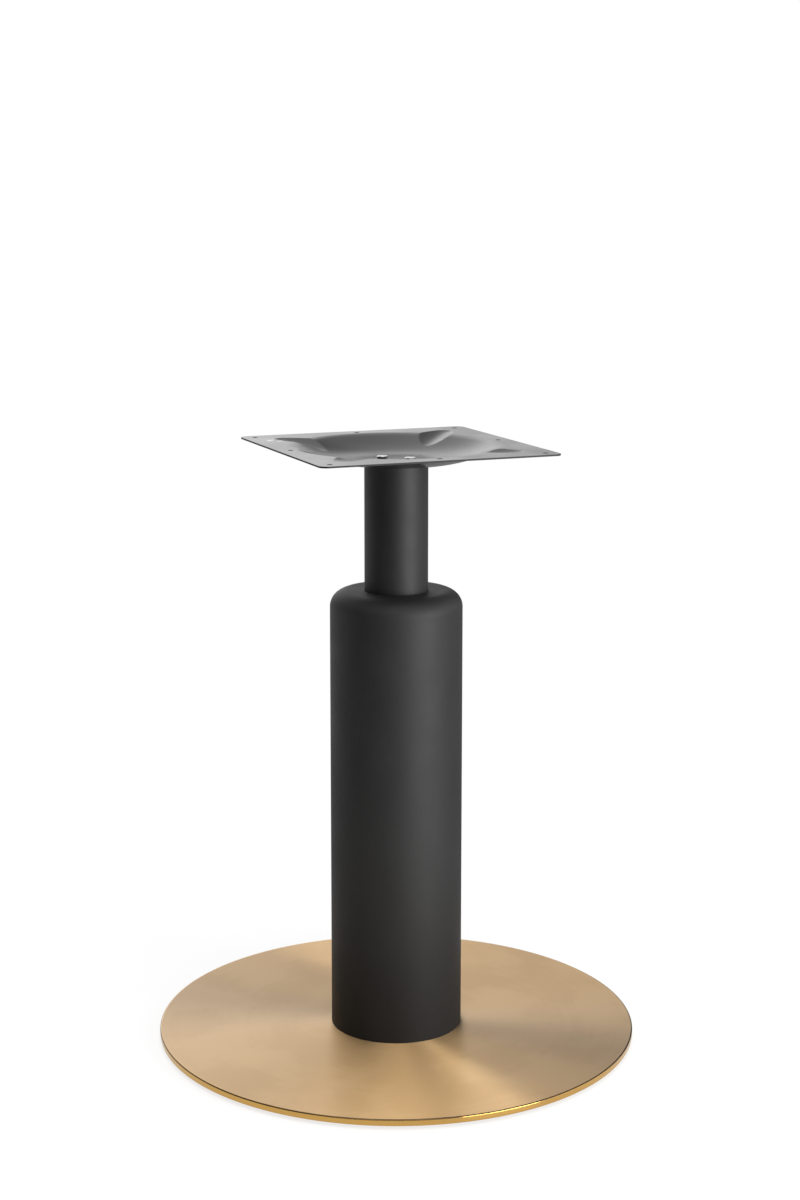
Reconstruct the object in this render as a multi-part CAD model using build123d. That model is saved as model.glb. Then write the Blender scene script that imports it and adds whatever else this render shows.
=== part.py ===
from build123d import *
import math
import os

# Pedestal table base: a weighted disc foot in a spun cover, a wide sleeve over
# a steel column tube, and a pressed square plate that carries the table top.
# Millimetres, +Z up, origin on the floor under the column's axis.

# Overall
overall_height = 725.0
floor_clearance = 4.0

# Disc foot: spun cover with a hem rolled under a steel weight
base_diameter = 580.0
rim_height = 8.0
cover_sheet = 1.0
cover_edge_radius = 2.5
hem_width = 12.0
weight_play = 0.5
weight_chamfer = 1.6

# Glides pressed into the weight
glide_count = 6
glide_inset = 30.0
glide_turn = 45.0
glide_diameter = 25.0
glide_edge_chamfer = 1.5
glide_stem_diameter = 8.0
glide_stem_length = 5.0
glide_stem_chamfer = 1.0
glide_play = 0.1

# Column
tube_diameter = 76.1
tube_wall = 2.6
sleeve_diameter = 159.0
sleeve_wall = 2.0
shoulder_height = 551.0
shoulder_radius = 20.0
neck_play = 0.4

# Welded ends of the column tube
flange_thickness = 8.0
flange_play = 0.3
head_thickness = 10.0
head_play = 0.2

# Countersunk screws that hold the foot to the flange
base_screw_count = 4
base_screw_circle = 110.0
base_screw_diameter = 10.0
base_screw_head = 20.0
base_screw_socket = 6.0
base_screw_socket_depth = 3.2
base_screw_reach = 7.0
clearance_hole_play = 0.5

# Hexagon bolts and washers that hold the plate to the column
plate_bolt_count = 2
plate_bolt_circle = 36.0
plate_bolt_turn = -45.0
plate_bolt_diameter = 8.0
plate_bolt_head_width = 13.0
plate_bolt_head_height = 4.0
plate_bolt_chamfer = 0.6
plate_bolt_reach = 9.0
washer_diameter = 16.0
washer_thickness = 0.8
thread_play = 0.05

# Pressed plate under the table top
plate_width = 295.0
plate_corner_radius = 10.0
plate_sheet = 2.0
screw_hole_inset = 15.5
screw_hole_diameter = 6.5

# Dish of the plate: a flat floor, a sloping wall and the flat border, joined by wide bends
dish_border = 26.0
dish_depth = 18.5
dish_wall_angle = 22.0
dish_rim_bend = 40.0
dish_floor_bend = 150.0

# Darts: round grooves on the diagonals, which fall from the border into the dish
dart_bead_radius = 32.0
dart_reach = 26.0
dart_end_depth = 2.4
dart_fall_angle = 9.0
dart_blend = 5.0

# Heights and radii that follow
cover_bottom = floor_clearance
cover_top = cover_bottom + rim_height
weight_bottom = cover_bottom + cover_sheet
weight_top = cover_top - cover_sheet
flange_top = cover_top + flange_thickness
plate_floor_top = overall_height - dish_depth
plate_floor_bottom = plate_floor_top - plate_sheet
base_radius = base_diameter / 2
tube_radius = tube_diameter / 2
sleeve_radius = sleeve_diameter / 2
glide_circle = base_diameter - 2 * glide_inset
screw_hole_spacing = plate_width - 2 * screw_hole_inset
dish_radius = plate_width / 2 - dish_border
dish_foot_radius = dish_radius - dish_depth / math.tan(math.radians(dish_wall_angle))
dart_end_radius = dish_radius + dart_reach


def save(shape, name):
    shape.label = name
    export_step(shape, os.path.join("parts", name + ".step"))


def upright(radius, bottom, top):
    return Pos(0, 0, bottom) * Cylinder(radius, top - bottom, align=(Align.CENTER, Align.CENTER, Align.MIN))


def ring_of(shape, circle, count, turn=0.0):
    return [loc * shape for loc in PolarLocations(circle / 2, count, start_angle=turn)]


def at_glides(shape):
    return ring_of(shape, glide_circle, glide_count, glide_turn)


def at_plate_bolts(shape):
    return ring_of(shape, plate_bolt_circle, plate_bolt_count, plate_bolt_turn)


def spun(profile_face):
    return revolve(Plane.XZ * profile_face, Axis.Z)


# Foot
def make_base_cover():
    inside_radius = cover_edge_radius - cover_sheet
    outside = Rectangle(base_radius, rim_height, align=(Align.MIN, Align.MIN))
    outside = fillet(outside.vertices().group_by(Axis.X)[-1], cover_edge_radius)
    inside = Pos(0, cover_sheet) * Rectangle(
        base_radius - cover_sheet, rim_height - 2 * cover_sheet, align=(Align.MIN, Align.MIN)
    )
    inside = fillet(inside.vertices().group_by(Axis.X)[-1], inside_radius)
    mouth = Rectangle(base_radius - hem_width, 2 * cover_sheet, align=(Align.MIN, Align.CENTER))
    cover = spun(Pos(0, cover_bottom) * (outside - inside - mouth))
    hole_radius = base_screw_diameter / 2 + clearance_hole_play
    return cover - ring_of(upright(hole_radius, cover_bottom, cover_top), base_screw_circle, base_screw_count)


def screw_cone():
    # Head of the screw and the countersink that it seats in
    head = base_screw_head / 2
    neck = base_screw_diameter / 2
    place = Pos(0, 0, weight_bottom)
    return place * Cone(head, neck, head - neck, align=(Align.CENTER, Align.CENTER, Align.MIN))


def make_base_weight():
    radius = base_radius - cover_sheet - weight_play
    weight = upright(radius, weight_bottom, weight_top)
    weight = chamfer(weight.edges(), weight_chamfer)
    hole = upright(base_screw_diameter / 2 + clearance_hole_play, weight_bottom, weight_top)
    hole += screw_cone()
    stem = upright(glide_stem_diameter / 2 + glide_play, weight_bottom, weight_top)
    weight -= ring_of(hole, base_screw_circle, base_screw_count)
    return weight - at_glides(stem)


def make_floor_glide():
    pad = upright(glide_diameter / 2, 0, weight_bottom)
    pad = chamfer(pad.edges().group_by(Axis.Z)[0], glide_edge_chamfer)
    stem = upright(glide_stem_diameter / 2, weight_bottom, weight_bottom + glide_stem_length)
    stem = chamfer(stem.edges().group_by(Axis.Z)[-1], glide_stem_chamfer)
    return pad + stem


def make_base_screw():
    tip = cover_top + base_screw_reach
    screw = upright(base_screw_diameter / 2, weight_bottom, tip) + screw_cone()
    socket = extrude(RegularPolygon(base_screw_socket / 2, 6, major_radius=False), base_screw_socket_depth)
    return screw - Pos(0, 0, weight_bottom) * socket


# Column
def make_foot_flange():
    radius = sleeve_radius - sleeve_wall - flange_play
    flange = upright(radius, cover_top, flange_top)
    tapped = upright(base_screw_diameter / 2 + thread_play, cover_top, flange_top)
    return flange - ring_of(tapped, base_screw_circle, base_screw_count)


def make_column_tube():
    outer = upright(tube_radius, flange_top, plate_floor_bottom)
    return outer - upright(tube_radius - tube_wall, flange_top, plate_floor_bottom)


def make_head_plate():
    bottom = plate_floor_bottom - head_thickness
    head = upright(tube_radius - tube_wall - head_play, bottom, plate_floor_bottom)
    tapped = upright(plate_bolt_diameter / 2 + thread_play, bottom, plate_floor_bottom)
    return head - at_plate_bolts(tapped)


def make_column_sleeve():
    height = shoulder_height - cover_top
    outside = Rectangle(sleeve_radius, height, align=(Align.MIN, Align.MIN))
    outside = fillet(outside.vertices().group_by(Axis.X)[-1].sort_by(Axis.Y)[-1:], shoulder_radius)
    inside = Rectangle(sleeve_radius - sleeve_wall, height - sleeve_wall, align=(Align.MIN, Align.MIN))
    inside_corner = inside.vertices().group_by(Axis.X)[-1].sort_by(Axis.Y)[-1:]
    inside = fillet(inside_corner, shoulder_radius - sleeve_wall)
    neck_hole = Rectangle(tube_radius + neck_play, height, align=(Align.MIN, Align.MIN))
    return spun(Pos(0, cover_top) * (outside - inside - neck_hole))


# Plate
def dish_profile(sheet):
    # Half section of the space above the dish, lowered by the sheet's thickness for its underside
    surface = FilletPolyline(
        (-dish_radius, -dish_depth),
        (dish_foot_radius, -dish_depth),
        (dish_radius, 0),
        (plate_width, 0),
        radius=[dish_floor_bend, dish_rim_bend],
    )
    lid_height = 2 * dart_bead_radius + dish_depth
    lid = Polyline(surface @ 1, (plate_width, lid_height), (-dish_radius, lid_height), surface @ 0)
    space = make_face(surface.edges() + lid.edges())
    if sheet:
        space = offset(space, sheet)
    half = Rectangle(2 * plate_width, 2 * plate_width, align=(Align.MIN, Align.CENTER))
    return space & half


def bead(start, end, radius):
    # Round bar with a ball at its start, in the XZ plane
    direction = Vector(end[0] - start[0], 0, end[1] - start[1])
    place = Plane(origin=(start[0], 0, start[1]), z_dir=direction)
    bar = Cylinder(radius, direction.length, align=(Align.CENTER, Align.CENTER, Align.MIN))
    return place * (bar + Sphere(radius))


def dart(sheet):
    # Its floor falls from the ball at its outer end, meets the dish's wall and runs on above the dish
    run = dart_end_radius - dish_foot_radius
    start = (dart_end_radius, dart_bead_radius - dart_end_depth)
    end = (dish_foot_radius, start[1] - run * math.tan(math.radians(dart_fall_angle)))
    return bead(start, end, dart_bead_radius + sheet)


def darts(sheet):
    return [Rot(0, 0, angle) * dart(sheet) for angle in (45, 135, 225, 315)]


def space_above_plate():
    dish = spun(dish_profile(0))
    grooves = darts(0)
    pressed = dish + grooves
    return fillet(new_edges(dish, *grooves, combined=pressed), dart_blend)


def space_above_underside():
    return spun(dish_profile(plate_sheet)) + darts(plate_sheet)


def make_top_plate():
    outline = RectangleRounded(plate_width, plate_width, plate_corner_radius)
    blank = extrude(outline, -2 * dish_depth)
    plate = (blank & space_above_underside()) - space_above_plate()
    screw_hole = Cylinder(screw_hole_diameter / 2, 4 * plate_sheet)
    plate -= [loc * screw_hole for loc in GridLocations(screw_hole_spacing, screw_hole_spacing, 2, 2)]
    plate -= ring_of(screw_hole, screw_hole_spacing, 4)
    bolt_hole = Cylinder(plate_bolt_diameter / 2 + clearance_hole_play, 4 * dish_depth)
    plate -= at_plate_bolts(bolt_hole)
    return Pos(0, 0, overall_height) * plate


def make_plate_washer():
    washer = upright(washer_diameter / 2, plate_floor_top, plate_floor_top + washer_thickness)
    hole_radius = plate_bolt_diameter / 2 + clearance_hole_play
    return washer - upright(hole_radius, plate_floor_top, plate_floor_top + washer_thickness)


def make_plate_bolt():
    seat = plate_floor_top + washer_thickness
    hexagon = RegularPolygon(plate_bolt_head_width / 2, 6, major_radius=False)
    head = Pos(0, 0, seat) * extrude(hexagon, plate_bolt_head_height)
    corner_radius = plate_bolt_head_width / math.sqrt(3)
    crown = upright(corner_radius, seat, seat + plate_bolt_head_height)
    crown = chamfer(crown.edges().group_by(Axis.Z)[-1], plate_bolt_chamfer, 2 * plate_bolt_chamfer)
    shank = upright(plate_bolt_diameter / 2, plate_floor_bottom - plate_bolt_reach, seat)
    return (head & crown) + shank


def main():
    os.makedirs("parts", exist_ok=True)
    save(make_base_cover(), "base_cover")
    save(make_base_weight(), "base_weight")
    for number, glide in enumerate(at_glides(make_floor_glide()), start=1):
        save(glide, f"floor_glide_{number}")
    save(Compound(ring_of(make_base_screw(), base_screw_circle, base_screw_count)), "base_screws")
    save(make_foot_flange(), "foot_flange")
    save(make_column_tube(), "column_tube")
    save(make_head_plate(), "head_plate")
    save(make_column_sleeve(), "column_sleeve")
    save(make_top_plate(), "top_plate")
    save(Compound(at_plate_bolts(make_plate_washer())), "plate_washers")
    save(Compound(at_plate_bolts(make_plate_bolt())), "plate_bolts")


main()
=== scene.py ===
import math

import bpy
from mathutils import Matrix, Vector


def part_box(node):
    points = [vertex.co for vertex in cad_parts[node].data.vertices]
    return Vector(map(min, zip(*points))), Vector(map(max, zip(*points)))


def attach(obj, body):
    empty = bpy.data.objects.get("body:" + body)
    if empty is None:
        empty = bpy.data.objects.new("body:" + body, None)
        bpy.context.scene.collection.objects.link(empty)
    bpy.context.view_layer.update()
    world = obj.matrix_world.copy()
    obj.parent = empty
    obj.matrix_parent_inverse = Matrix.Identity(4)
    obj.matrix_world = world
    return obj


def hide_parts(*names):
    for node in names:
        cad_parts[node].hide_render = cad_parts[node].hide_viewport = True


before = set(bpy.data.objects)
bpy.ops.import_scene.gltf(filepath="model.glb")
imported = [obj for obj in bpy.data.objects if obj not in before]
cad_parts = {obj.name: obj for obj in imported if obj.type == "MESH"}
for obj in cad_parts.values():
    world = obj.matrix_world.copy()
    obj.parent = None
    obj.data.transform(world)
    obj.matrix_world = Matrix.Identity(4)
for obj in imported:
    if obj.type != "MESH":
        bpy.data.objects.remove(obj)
bpy.ops.object.select_all(action="DESELECT")  # loading leaves the nodes selected
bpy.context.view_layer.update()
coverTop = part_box("base_cover")[1].z
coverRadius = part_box("base_cover")[1].x
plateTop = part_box("top_plate")[1].z
print("frame loaded with", len(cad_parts), "nodes")


# node tools
def feed(tree, socket, term):
    if isinstance(term, bpy.types.NodeSocket):
        tree.links.new(term, socket)
    else:
        socket.default_value = term


def feedInTurn(tree, made, terms):
    for socket, term in zip(made.inputs, terms):
        feed(tree, socket, term)


def addNode(tree, kind, terms=None, **settings):
    made = tree.nodes.new(kind)
    for name, value in settings.items():
        setattr(made, name, value)
    for socket, term in (terms or {}).items():
        feed(tree, made.inputs[socket], term)
    return made


def calc(tree, operation, *terms):
    step = addNode(tree, "ShaderNodeMath", operation=operation)
    feedInTurn(tree, step, terms)
    return step.outputs["Value"]


def vectorCalc(tree, operation, *terms):
    step = addNode(tree, "ShaderNodeVectorMath", operation=operation)
    feedInTurn(tree, step, terms)
    return step.outputs["Value" if operation in ("DOT_PRODUCT", "LENGTH") else "Vector"]


def remap(tree, value, rangeIn, rangeOut=(0.0, 1.0)):
    step = addNode(tree, "ShaderNodeMapRange", interpolation_type="SMOOTHSTEP")
    feedInTurn(tree, step, (value, *rangeIn, *rangeOut))
    return step.outputs["Result"]


def mixColor(tree, amount, first, second):
    step = addNode(tree, "ShaderNodeMix", data_type="RGBA")
    feed(tree, step.inputs["Factor"], amount)
    feed(tree, step.inputs[6], first)  # colour A
    feed(tree, step.inputs[7], second)  # colour B
    return step.outputs[2]  # the mixed colour


def noise(tree, vector, scale, detail=2.0, roughness=0.5):
    terms = {"Vector": vector, "Scale": scale, "Detail": detail, "Roughness": roughness}
    return addNode(tree, "ShaderNodeTexNoise", terms).outputs["Fac"]


def objectPlace(tree):
    return addNode(tree, "ShaderNodeTexCoord").outputs["Object"]


def splitVector(tree, vector):
    return addNode(tree, "ShaderNodeSeparateXYZ", {"Vector": vector}).outputs


def startGroup(name, inputs, outputs):
    group = bpy.data.node_groups.new(name, "ShaderNodeTree")
    for socketName, value in inputs.items():
        socket = group.interface.new_socket(socketName, in_out="INPUT", socket_type="NodeSocketFloat")
        socket.default_value = value
    for socketName in outputs:
        group.interface.new_socket(socketName, in_out="OUTPUT", socket_type="NodeSocketFloat")
    return group, addNode(group, "NodeGroupInput"), addNode(group, "NodeGroupOutput")


def useGroup(tree, group, values):
    return addNode(tree, "ShaderNodeGroup", values, node_tree=group).outputs


def startMaterial(name):
    material = bpy.data.materials.new(name)
    material.use_nodes = True
    tree = material.node_tree
    return material, tree, tree.nodes["Principled BSDF"]


def addBump(tree, shader, height, strength, depth):
    terms = {"Height": height, "Strength": strength, "Distance": depth}
    feed(tree, shader.inputs["Normal"], addNode(tree, "ShaderNodeBump", terms).outputs["Normal"])


# shared surface effects: rings left by turning or brushing, and the grain of a coat
ringShape = {
    "fineDetail": 3.0,
    "broadDetail": 2.0,
    "axisGap": 0.001,  # keeps the axis itself from dividing by nothing
    "usualRange": (0.3, 0.7),
}
grainShape = {
    "fineDetail": 2.0,
    "fineRoughness": 0.6,
    "speckleRange": (0.35, 0.65),
    "peelSpacing": 3.5,  # in grains
    "peelDetail": 1.0,
    "peelShare": 0.6,
    "patchDetail": 3.0,
    "patchRange": (0.3, 0.7),
}


def makeTurnedRings():
    group, given, result = startGroup(
        "turnedRings",
        {"fineSpacing": 0.0005, "broadSpacing": 0.006, "arc": 1.0},
        ("fine", "broad", "radius"),
    )
    place = splitVector(group, objectPlace(group))
    x, y = place["X"], place["Y"]
    squares = calc(group, "ADD", calc(group, "MULTIPLY", x, x), calc(group, "MULTIPLY", y, y))
    radius = calc(group, "SQRT", squares)
    safeRadius = calc(group, "MAXIMUM", radius, ringShape["axisGap"])
    arc = given.outputs["arc"]
    turnX = calc(group, "MULTIPLY", calc(group, "DIVIDE", x, safeRadius), arc)
    turnY = calc(group, "MULTIPLY", calc(group, "DIVIDE", y, safeRadius), arc)
    for name in ("fine", "broad"):
        across = calc(group, "DIVIDE", radius, given.outputs[name + "Spacing"])
        ringPlace = addNode(group, "ShaderNodeCombineXYZ", {"X": across, "Y": turnX, "Z": turnY})
        rings = noise(group, ringPlace.outputs["Vector"], 1.0, ringShape[name + "Detail"])
        feed(group, result.inputs[name], rings)
    feed(group, result.inputs["radius"], radius)
    return group


def makeCoatGrain():
    group, given, result = startGroup(
        "coatGrain", {"grain": 0.0006, "patch": 0.05}, ("height", "speckle", "patches")
    )
    place = objectPlace(group)
    grainScale = calc(group, "DIVIDE", 1.0, given.outputs["grain"])
    fine = noise(group, place, grainScale, grainShape["fineDetail"], grainShape["fineRoughness"])
    peelScale = calc(group, "DIVIDE", grainScale, grainShape["peelSpacing"])
    peel = noise(group, place, peelScale, grainShape["peelDetail"])
    feed(group, result.inputs["height"], calc(group, "MULTIPLY_ADD", peel, grainShape["peelShare"], fine))
    feed(group, result.inputs["speckle"], remap(group, fine, grainShape["speckleRange"]))
    patchScale = calc(group, "DIVIDE", 1.0, given.outputs["patch"])
    patches = noise(group, place, patchScale, grainShape["patchDetail"])
    feed(group, result.inputs["patches"], remap(group, patches, grainShape["patchRange"]))
    return group


turnedRings = makeTurnedRings()
coatGrain = makeCoatGrain()
print("shared surface effects built")


# circular brushed brass, polished on the rim
brassLook = {
    "brushedColor": (0.605, 0.408, 0.206, 1),
    "brushedShade": (0.565, 0.372, 0.182, 1),
    "toneShares": (0.4, 0.6),  # of the broad rings and of the mottle
    "toneRange": (0.3, 0.7),
    "brushedRoughness": (0.445, 0.47),
    "rings": {"fineSpacing": 0.0005, "broadSpacing": 0.007, "arc": 1.2},
    "mottle": {"grain": 0.0008, "patch": 0.09},
    "bump": (0.15, 0.00005),  # strength and depth
    "anisotropy": 0.95,
    "streakTurn": 0.25,  # a quarter turn, so that streaks run across the brushing
    "coatWeight": 0.5,
    "coatRoughness": 0.38,
    "polishedColor": (0.645, 0.376, 0.095, 1),
    "polishedRoughness": 0.16,
    "edgeWidth": 0.0017,
    "topBand": 0.0002,
    # painted dark reflection along the rim's top edge: its colour, and the depth band below the top where
    # it lies
    "darkEdgeReflectionColor": (0.07, 0.036, 0.010, 1),
    "darkEdgeReflectionDrop": (0.00003, 0.0009),
}


def makeBrass():
    material, tree, shader = startMaterial("brushedBrass")
    rings = useGroup(tree, turnedRings, brassLook["rings"])
    mottle = useGroup(tree, coatGrain, brassLook["mottle"])["patches"]
    place = splitVector(tree, objectPlace(tree))
    flatEdge = coverRadius - brassLook["edgeWidth"]
    within = calc(tree, "LESS_THAN", rings["radius"], flatEdge)
    high = calc(tree, "GREATER_THAN", place["Z"], coverTop - brassLook["topBand"])
    onTop = calc(tree, "MULTIPLY", within, high)
    # tone of the brushed top
    ringShare, mottleShare = brassLook["toneShares"]
    mottled = calc(tree, "MULTIPLY", mottle, mottleShare)
    tone = calc(tree, "MULTIPLY_ADD", rings["broad"], ringShare, mottled)
    tone = remap(tree, tone, brassLook["toneRange"])
    brushed = mixColor(tree, tone, brassLook["brushedShade"], brassLook["brushedColor"])
    # painted dark reflection: a dark line along the rim, where top and edge meet
    drop = calc(tree, "SUBTRACT", coverTop, place["Z"])
    reflectionTop, reflectionBottom = brassLook["darkEdgeReflectionDrop"]
    belowTop = calc(tree, "GREATER_THAN", drop, reflectionTop)
    aboveEdge = calc(tree, "LESS_THAN", drop, reflectionBottom)
    darkEdgeReflection = calc(tree, "MULTIPLY", belowTop, aboveEdge)
    darkEdgeReflection = calc(tree, "MULTIPLY", darkEdgeReflection, calc(tree, "GREATER_THAN", rings["radius"], flatEdge))
    rim = mixColor(tree, darkEdgeReflection, brassLook["polishedColor"], brassLook["darkEdgeReflectionColor"])
    feed(tree, shader.inputs["Base Color"], mixColor(tree, onTop, rim, brushed))
    # gloss, drawn out across the brushing
    ringRoughness = remap(tree, rings["fine"], ringShape["usualRange"], brassLook["brushedRoughness"])
    polished = brassLook["polishedRoughness"]
    spread = calc(tree, "SUBTRACT", ringRoughness, polished)
    feed(tree, shader.inputs["Roughness"], calc(tree, "MULTIPLY_ADD", onTop, spread, polished))
    backY = calc(tree, "MULTIPLY", place["Y"], -1.0)
    around = addNode(tree, "ShaderNodeCombineXYZ", {"X": backY, "Y": place["X"]})
    feed(tree, shader.inputs["Tangent"], around.outputs["Vector"])
    shader.inputs["Metallic"].default_value = 1.0
    shader.inputs["Anisotropic"].default_value = brassLook["anisotropy"]
    shader.inputs["Anisotropic Rotation"].default_value = brassLook["streakTurn"]
    shader.inputs["Coat Weight"].default_value = brassLook["coatWeight"]
    shader.inputs["Coat Roughness"].default_value = brassLook["coatRoughness"]
    addBump(tree, shader, calc(tree, "MULTIPLY", rings["fine"], onTop), *brassLook["bump"])
    return material


# black powder coat, matte on the column and smoother on the plate
coatLook = {
    "column": {
        "dark": 0.008,
        "light": 0.011,
        "roughness": (0.58, 0.64),
        "specular": 0.52,
        "bump": 0.22,
        # painted shade: the specular level falls to this value towards the floor, darkening the column's
        # foot
        "foot": {"height": 0.28, "specular": 0.2},
    },
    "plate": {
        "dark": 0.016,
        "light": 0.021,
        "roughness": (0.18, 0.24),
        "specular": 0.5,
        "bump": 0.08,
        # painted shade: a near-black colour on the sideways-facing cut edges and hole walls, which are
        # also rougher
        "cutEdgeShade": {"color": (0.003, 0.003, 0.003, 1), "roughness": 0.6, "facing": (0.3, 0.6)},
        "scuff": {
            "center": (-0.116, 0.097, 0),
            "reach": (0.017, 0.017),
            "fade": (0.5, 1.0),
            "grain": 0.007,
            "speckRange": (0.5, 0.56),
            "color": (0.45, 0.45, 0.45, 1),
        },
    },
    "grain": {"grain": 0.0007, "patch": 0.07},
    "toneShares": (0.5, 0.5),  # of the speckle and of the patches
    "blueCast": 1.03,
    "bumpDepth": 0.0003,
}


def coatColor(level):
    return (level, level, level * coatLook["blueCast"], 1)


def addScuffs(tree, color, scuff):
    place = vectorCalc(tree, "SUBTRACT", objectPlace(tree), scuff["center"])
    wide, deep = scuff["reach"]
    away = vectorCalc(tree, "LENGTH", vectorCalc(tree, "MULTIPLY", place, (1 / wide, 1 / deep, 0)))
    near = remap(tree, away, scuff["fade"], (1.0, 0.0))
    specks = remap(tree, noise(tree, place, 1 / scuff["grain"]), scuff["speckRange"])
    return mixColor(tree, calc(tree, "MULTIPLY", specks, near), color, scuff["color"])


# painted shade: faces that point sideways, the cut edges and hole walls, are coloured near-black and made
# rougher
def addCutEdgeShade(tree, color, roughness, cutEdgeShade):
    normal = addNode(tree, "ShaderNodeNewGeometry").outputs["True Normal"]
    facing = calc(tree, "ABSOLUTE", splitVector(tree, normal)["Z"])
    cut = remap(tree, facing, cutEdgeShade["facing"], (1.0, 0.0))
    dull = calc(tree, "MULTIPLY", cut, cutEdgeShade["roughness"])
    return mixColor(tree, cut, color, cutEdgeShade["color"]), calc(tree, "MAXIMUM", roughness, dull)


def makePowderCoat(name, look):
    material, tree, shader = startMaterial(name)
    grain = useGroup(tree, coatGrain, coatLook["grain"])
    speckleShare, patchShare = coatLook["toneShares"]
    patchTone = calc(tree, "MULTIPLY", grain["patches"], patchShare)
    tone = calc(tree, "MULTIPLY_ADD", grain["speckle"], speckleShare, patchTone)
    color = mixColor(tree, tone, coatColor(look["dark"]), coatColor(look["light"]))
    roughness = remap(tree, grain["patches"], (0.0, 1.0), look["roughness"])
    if "scuff" in look:
        color = addScuffs(tree, color, look["scuff"])
    if "cutEdgeShade" in look:
        color, roughness = addCutEdgeShade(tree, color, roughness, look["cutEdgeShade"])
    feed(tree, shader.inputs["Base Color"], color)
    feed(tree, shader.inputs["Roughness"], roughness)
    shader.inputs["Specular IOR Level"].default_value = look["specular"]
    # painted shade: lower specular towards the floor darkens the column's foot, where the light falls off
    if "foot" in look:  # duller towards the floor
        foot = look["foot"]
        height = splitVector(tree, objectPlace(tree))["Z"]
        dulled = remap(tree, height, (0.0, foot["height"]), (foot["specular"], look["specular"]))
        feed(tree, shader.inputs["Specular IOR Level"], dulled)
    addBump(tree, shader, grain["height"], look["bump"], coatLook["bumpDepth"])
    return material


# bright zinc of the fasteners, mill steel of the hidden discs and moulded nylon of the glides
plainLooks = {
    "brightZinc": {
        "dark": (0.50, 0.51, 0.52, 1),
        "light": (0.74, 0.74, 0.73, 1),
        "roughness": (0.1, 0.24),
        "metallic": 1.0,
        "grain": {"grain": 0.0004, "patch": 0.004},
        "bump": (0.05, 0.0001),  # strength and depth
    },
    "millSteel": {
        "dark": (0.26, 0.25, 0.24, 1),
        "light": (0.40, 0.40, 0.41, 1),
        "roughness": (0.35, 0.55),
        "metallic": 1.0,
        "grain": {"grain": 0.0012, "patch": 0.03},
        "rings": {"fineSpacing": 0.0009, "broadSpacing": 0.01, "arc": 2.0},
        "bump": (0.1, 0.0001),
    },
    "mouldedNylon": {
        "dark": (0.022, 0.022, 0.023, 1),
        "light": (0.034, 0.034, 0.035, 1),
        "roughness": (0.4, 0.55),
        "metallic": 0.0,
        "grain": {"grain": 0.0005, "patch": 0.008},
        "bump": (0.1, 0.0002),
    },
}


def makePlainFinish(name):
    look = plainLooks[name]
    material, tree, shader = startMaterial(name)
    grain = useGroup(tree, coatGrain, look["grain"])
    color = mixColor(tree, grain["patches"], look["dark"], look["light"])
    if "rings" in look:
        height = useGroup(tree, turnedRings, look["rings"])["fine"]
        roughness = remap(tree, height, ringShape["usualRange"], look["roughness"])
    else:
        height = grain["height"]
        roughness = remap(tree, grain["speckle"], (0.0, 1.0), look["roughness"])
    feed(tree, shader.inputs["Base Color"], color)
    feed(tree, shader.inputs["Roughness"], roughness)
    shader.inputs["Metallic"].default_value = look["metallic"]
    addBump(tree, shader, height, *look["bump"])
    return material


# spun cover of the disc foot, with a finer edge than the solid's facets
coverShape = {
    "segments": 256,
    "edgeRadius": 0.0016,
    "edgeSteps": 10,
    "flatBand": 0.0008,
    "sheet": 0.001,
    "hem": 0.012,
    "screwCircle": 0.110,
    "screwHole": 0.011,
    "screwCount": 4,
    "holeSides": 48,
    "levelNormal": 0.999,
    "smoothAngle": math.radians(35),
}


def selectParts(piece, kind, test):
    bpy.ops.object.mode_set(mode="EDIT")
    bpy.ops.mesh.select_mode(type=kind)
    bpy.ops.mesh.select_all(action="DESELECT")
    bpy.ops.object.mode_set(mode="OBJECT")
    for part in piece.data.edges if kind == "EDGE" else piece.data.polygons:
        part.select = test(part)
    bpy.ops.object.mode_set(mode="EDIT")


def applyModifier(piece, kind, **settings):
    modifier = piece.modifiers.new(kind.lower(), kind)
    for name, value in settings.items():
        setattr(modifier, name, value)
    bpy.ops.object.modifier_apply(modifier=modifier.name)


def drillScrewHoles(cover):
    reach = coverShape["screwCircle"] / 2
    cutters = []
    for hole in range(coverShape["screwCount"]):
        turn = hole * 2 * math.pi / coverShape["screwCount"]
        bpy.ops.mesh.primitive_cylinder_add(
            vertices=coverShape["holeSides"],
            radius=coverShape["screwHole"] / 2,
            depth=3 * coverShape["sheet"],  # well through the sheet
            location=(reach * math.cos(turn), reach * math.sin(turn), coverTop),
        )
        cutters.append(bpy.context.active_object)
    for cutter in cutters:
        bpy.ops.object.select_all(action="DESELECT")
        bpy.context.view_layer.objects.active = cover
        cover.select_set(True)
        applyModifier(cover, "BOOLEAN", object=cutter, operation="DIFFERENCE", solver="EXACT")
        bpy.data.objects.remove(cutter)


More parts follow.
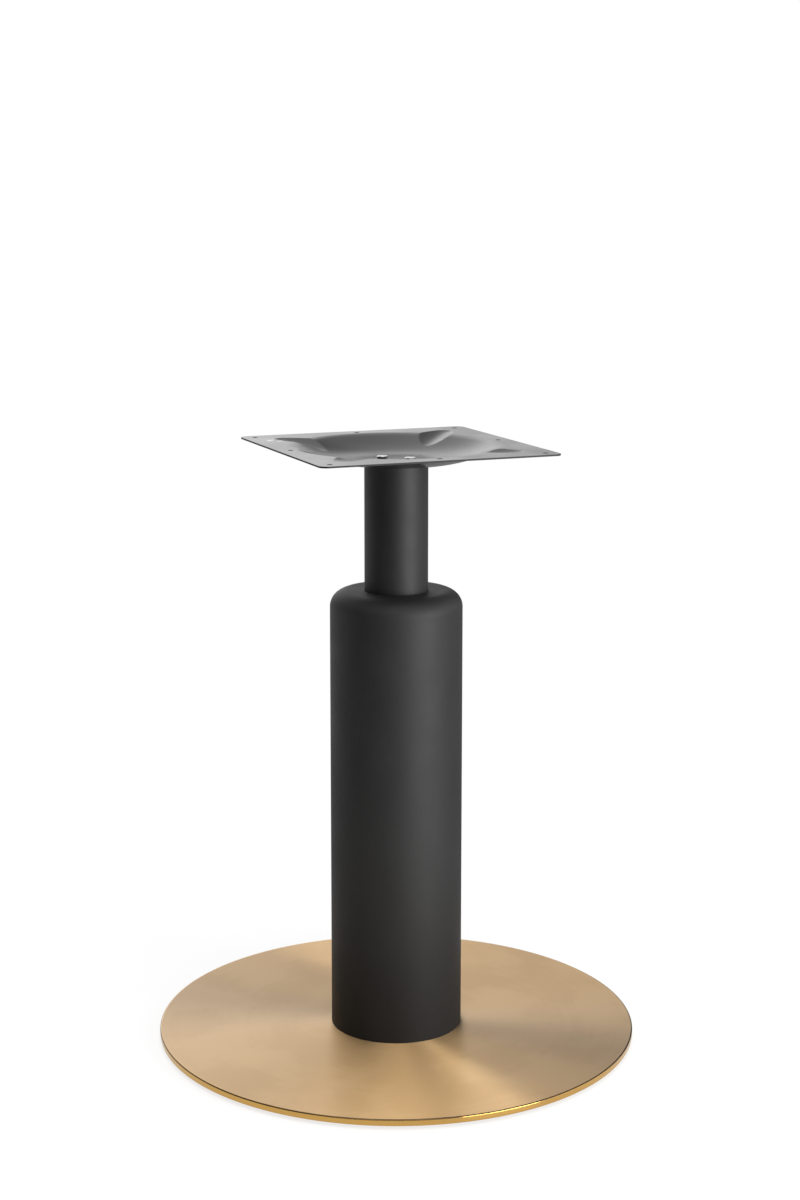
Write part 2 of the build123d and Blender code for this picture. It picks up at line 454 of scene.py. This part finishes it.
def makeDiscCover(brass):
    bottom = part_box("base_cover")[0].z
    bpy.ops.mesh.primitive_cylinder_add(
        vertices=coverShape["segments"],
        radius=coverRadius,
        depth=coverTop - bottom,
        location=(0, 0, (coverTop + bottom) / 2),
    )
    cover = bpy.context.active_object
    cover.name = "discCover"
    bpy.ops.object.transform_apply(location=True, rotation=True, scale=True)
    points = cover.data.vertices
    selectParts(cover, "EDGE", lambda edge: points[edge.vertices[0]].co.z == points[edge.vertices[1]].co.z)
    bpy.ops.mesh.bevel(offset=coverShape["edgeRadius"], segments=coverShape["edgeSteps"], affect="EDGES")
    selectParts(cover, "FACE", lambda face: face.normal.z > coverShape["levelNormal"])
    bpy.ops.mesh.inset(thickness=coverShape["flatBand"])
    selectParts(cover, "FACE", lambda face: face.normal.z < -coverShape["levelNormal"])
    bpy.ops.mesh.inset(thickness=coverShape["hem"] - coverShape["edgeRadius"])
    bpy.ops.mesh.delete(type="FACE")  # open inside the hem, round the weight
    bpy.ops.object.mode_set(mode="OBJECT")
    applyModifier(cover, "SOLIDIFY", thickness=coverShape["sheet"], offset=-1, use_even_offset=True)
    drillScrewHoles(cover)
    bpy.ops.object.shade_smooth_by_angle(angle=coverShape["smoothAngle"])
    cover.data.materials.append(brass)
    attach(cover, "root")
    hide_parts("base_cover")
    print("disc cover modelled with", len(cover.data.polygons), "faces")


def finishNodes():
    columnCoat = makePowderCoat("columnCoat", coatLook["column"])
    plateCoat = makePowderCoat("plateCoat", coatLook["plate"])
    zinc = makePlainFinish("brightZinc")
    steel = makePlainFinish("millSteel")
    brass = makeBrass()
    makeDiscCover(brass)
    nylon = makePlainFinish("mouldedNylon")
    finishes = {
        "base_cover": brass,
        "column_sleeve": columnCoat,
        "column_tube": columnCoat,
        "top_plate": plateCoat,
        "plate_bolts": zinc,
        "plate_washers": zinc,
        "base_screws": zinc,
        "base_weight": steel,
        "foot_flange": steel,
        "head_plate": steel,
    }
    for name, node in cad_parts.items():
        node.data.materials.clear()
        node.data.materials.append(finishes.get(name, nylon))  # the rest are glides
    print("finishes given to", len(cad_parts), "nodes")


# studio
cameraSetup = {
    "distance": 2.5246,
    "height": 1.0454,
    "turn": math.radians(-21.84),
    "pitch": math.radians(9.374),
    "focalPixels": 2151.57,
    "centerPixel": (396.26, 525.46),
    "imageSize": (800, 1200),
    "sensorWidth": 36,
}
# lamps: degrees to the camera's right and above the middle of the part, and metres away
studioLamps = {
    "sideSoftbox": {"side": 55, "up": 17, "away": 1.3, "size": (0.12, 0.6), "power": 3.2},
    "sideFill": {"side": 47, "up": 2, "away": 2.6, "size": (1.7, 1.0), "power": 50},
    "topSoftbox": {"side": 0, "up": 85, "away": 2.6, "size": (1.0, 1.0), "power": 16.5},
}
# soft walls of light: bearing from straight behind, to the right, then height and half width in degrees
surround = {
    "rear": {"bearing": -9, "up": 6, "width": 27, "level": 1.02},
    "rearLeft": {"bearing": -20, "up": 20, "width": 26, "level": 0.58},
    "rearLeftHigh": {"bearing": -25, "up": 35, "width": 35, "level": 0.60},
    "rearHigh": {"bearing": 0, "up": 60, "width": 40, "level": 0.62},
    "ceiling": {"bearing": 0, "up": 90, "width": 45, "level": 0.88},
    "left": {"bearing": -60, "up": 10, "width": 35, "level": 0.4},
    "leftHigh": {"bearing": -65, "up": 50, "width": 40, "level": 0.58},
    "right": {"bearing": 70, "up": 10, "width": 40, "level": 0.82},
    "rightHigh": {"bearing": 45, "up": 40, "width": 32, "level": 0.18},
    "frontRight": {"bearing": 95, "up": 12, "width": 40, "level": 0.95},
    "frontHigh": {"bearing": 180, "up": 55, "width": 40, "level": 1.9},
}
# pale floor: its glow to the camera, and the levels that glossy surfaces mirror
floorLook = {
    "color": (0.86, 0.86, 0.86, 1),
    "span": 60,
    "nearGlow": 0.75,
    "glowFade": (0.45, 1.3),
    "mirrored": (0.06, 0.42),  # in front and behind
    "mirroredFade": (0.2, 1.5),
    "nearMirrored": 0.75,
    "nearFade": (0.1, 0.3),  # past the disc's edge
    "sideMirrored": 0.9,
    "sideBearings": (130, -58),
    "sideSpread": (0.6, 1.0),
    "sideStart": 0.2,  # past the disc's edge
    "sideFull": 1.8,
}


def rearward(turn):
    return Vector((-math.sin(turn), math.cos(turn), 0))


def aimed(bearing, up):
    back = rearward(cameraSetup["turn"] - math.radians(bearing))
    return back * math.cos(math.radians(up)) + Vector((0, 0, math.sin(math.radians(up))))


def mirroredLevel(tree, place, away):
    behind = vectorCalc(tree, "DOT_PRODUCT", place, aimed(0, 0))
    level = remap(tree, behind, floorLook["mirroredFade"], floorLook["mirrored"])
    nearBand = [coverRadius + past for past in floorLook["nearFade"]]
    near = remap(tree, away, nearBand, (floorLook["nearMirrored"], 0.0))
    level = calc(tree, "MAXIMUM", level, near)
    sideBand = (coverRadius + floorLook["sideStart"], floorLook["sideFull"])
    beyond = remap(tree, away, sideBand, (0.0, floorLook["sideMirrored"]))
    heading = vectorCalc(tree, "NORMALIZE", place)
    for bearing in floorLook["sideBearings"]:
        toward = vectorCalc(tree, "DOT_PRODUCT", heading, aimed(bearing, 0))
        sector = remap(tree, toward, floorLook["sideSpread"])
        level = calc(tree, "MAXIMUM", level, calc(tree, "MULTIPLY", sector, beyond))
    return level


def makeFloor():
    bpy.ops.mesh.primitive_plane_add(size=floorLook["span"], location=(0, 0, 0))
    floor = bpy.context.active_object
    floor.name = "paleFloor"
    material, tree, shader = startMaterial("paleFloor")
    tree.nodes.remove(shader)
    place = objectPlace(tree)
    away = vectorCalc(tree, "LENGTH", place)
    path = addNode(tree, "ShaderNodeLightPath").outputs
    seen = calc(tree, "MAXIMUM", path["Is Camera Ray"], path["Is Glossy Ray"])
    seen = calc(tree, "MAXIMUM", seen, path["Is Transmission Ray"])
    strength = calc(tree, "MAXIMUM", mirroredLevel(tree, place, away), path["Is Camera Ray"])
    glow = addNode(tree, "ShaderNodeEmission", {"Color": (1, 1, 1, 1), "Strength": strength})
    paint = addNode(tree, "ShaderNodeBsdfDiffuse", {"Color": floorLook["color"]})
    share = remap(tree, away, floorLook["glowFade"], (floorLook["nearGlow"], 1.0))
    share = calc(tree, "MULTIPLY", share, seen)
    blend = addNode(tree, "ShaderNodeMixShader")
    feedInTurn(tree, blend, (share, paint.outputs["BSDF"], glow.outputs["Emission"]))
    feed(tree, tree.nodes["Material Output"].inputs["Surface"], blend.outputs["Shader"])
    floor.data.materials.append(material)
    print("floor laid")


def makeWorld():
    world = bpy.data.worlds.new("studioWorld")
    bpy.context.scene.world = world
    world.use_nodes = True
    tree = world.node_tree
    direction = addNode(tree, "ShaderNodeTexCoord").outputs["Generated"]
    level = 0.0
    for wall in surround.values():
        toward = vectorCalc(tree, "DOT_PRODUCT", direction, aimed(wall["bearing"], wall["up"]))
        edge = math.cos(math.radians(wall["width"]))
        level = calc(tree, "ADD", level, remap(tree, toward, (edge, 1.0), (0.0, wall["level"])))
    cameraRay = addNode(tree, "ShaderNodeLightPath").outputs["Is Camera Ray"]
    background = tree.nodes["Background"].inputs
    feed(tree, background["Color"], (1, 1, 1, 1))
    feed(tree, background["Strength"], calc(tree, "MAXIMUM", level, cameraRay))
    print("world lit by", len(surround), "soft walls")


def makeLamps():
    aim = Vector((0, 0, plateTop / 2))
    for name, lamp in studioLamps.items():
        toLamp = aimed(180 - lamp["side"], lamp["up"])
        bpy.ops.object.light_add(type="AREA", location=aim + toLamp * lamp["away"])
        made = bpy.context.active_object
        made.name = name
        made.rotation_euler = toLamp.to_track_quat("Z", "Y").to_euler()
        made.data.shape = "RECTANGLE"
        made.data.size, made.data.size_y = lamp["size"]
        made.data.energy = lamp["power"]
        made.visible_camera = False
    print("lamps placed:", ", ".join(studioLamps))


def makeCamera():
    place = -rearward(cameraSetup["turn"]) * cameraSetup["distance"]
    place.z = cameraSetup["height"]
    turned = (math.pi / 2 - cameraSetup["pitch"], 0, cameraSetup["turn"])
    bpy.ops.object.camera_add(location=place, rotation=turned)
    camera = bpy.context.active_object
    wide, tall = cameraSetup["imageSize"]
    centerX, centerY = cameraSetup["centerPixel"]
    camera.data.sensor_width = cameraSetup["sensorWidth"]
    camera.data.lens = cameraSetup["sensorWidth"] * cameraSetup["focalPixels"] / tall
    camera.data.shift_x = (wide / 2 - centerX) / tall
    camera.data.shift_y = (centerY - tall / 2) / tall
    bpy.context.scene.camera = camera
    bpy.context.scene.view_settings.view_transform = "Standard"
    print("camera placed")


finishNodes()
makeFloor()
makeWorld()
makeLamps()
makeCamera()
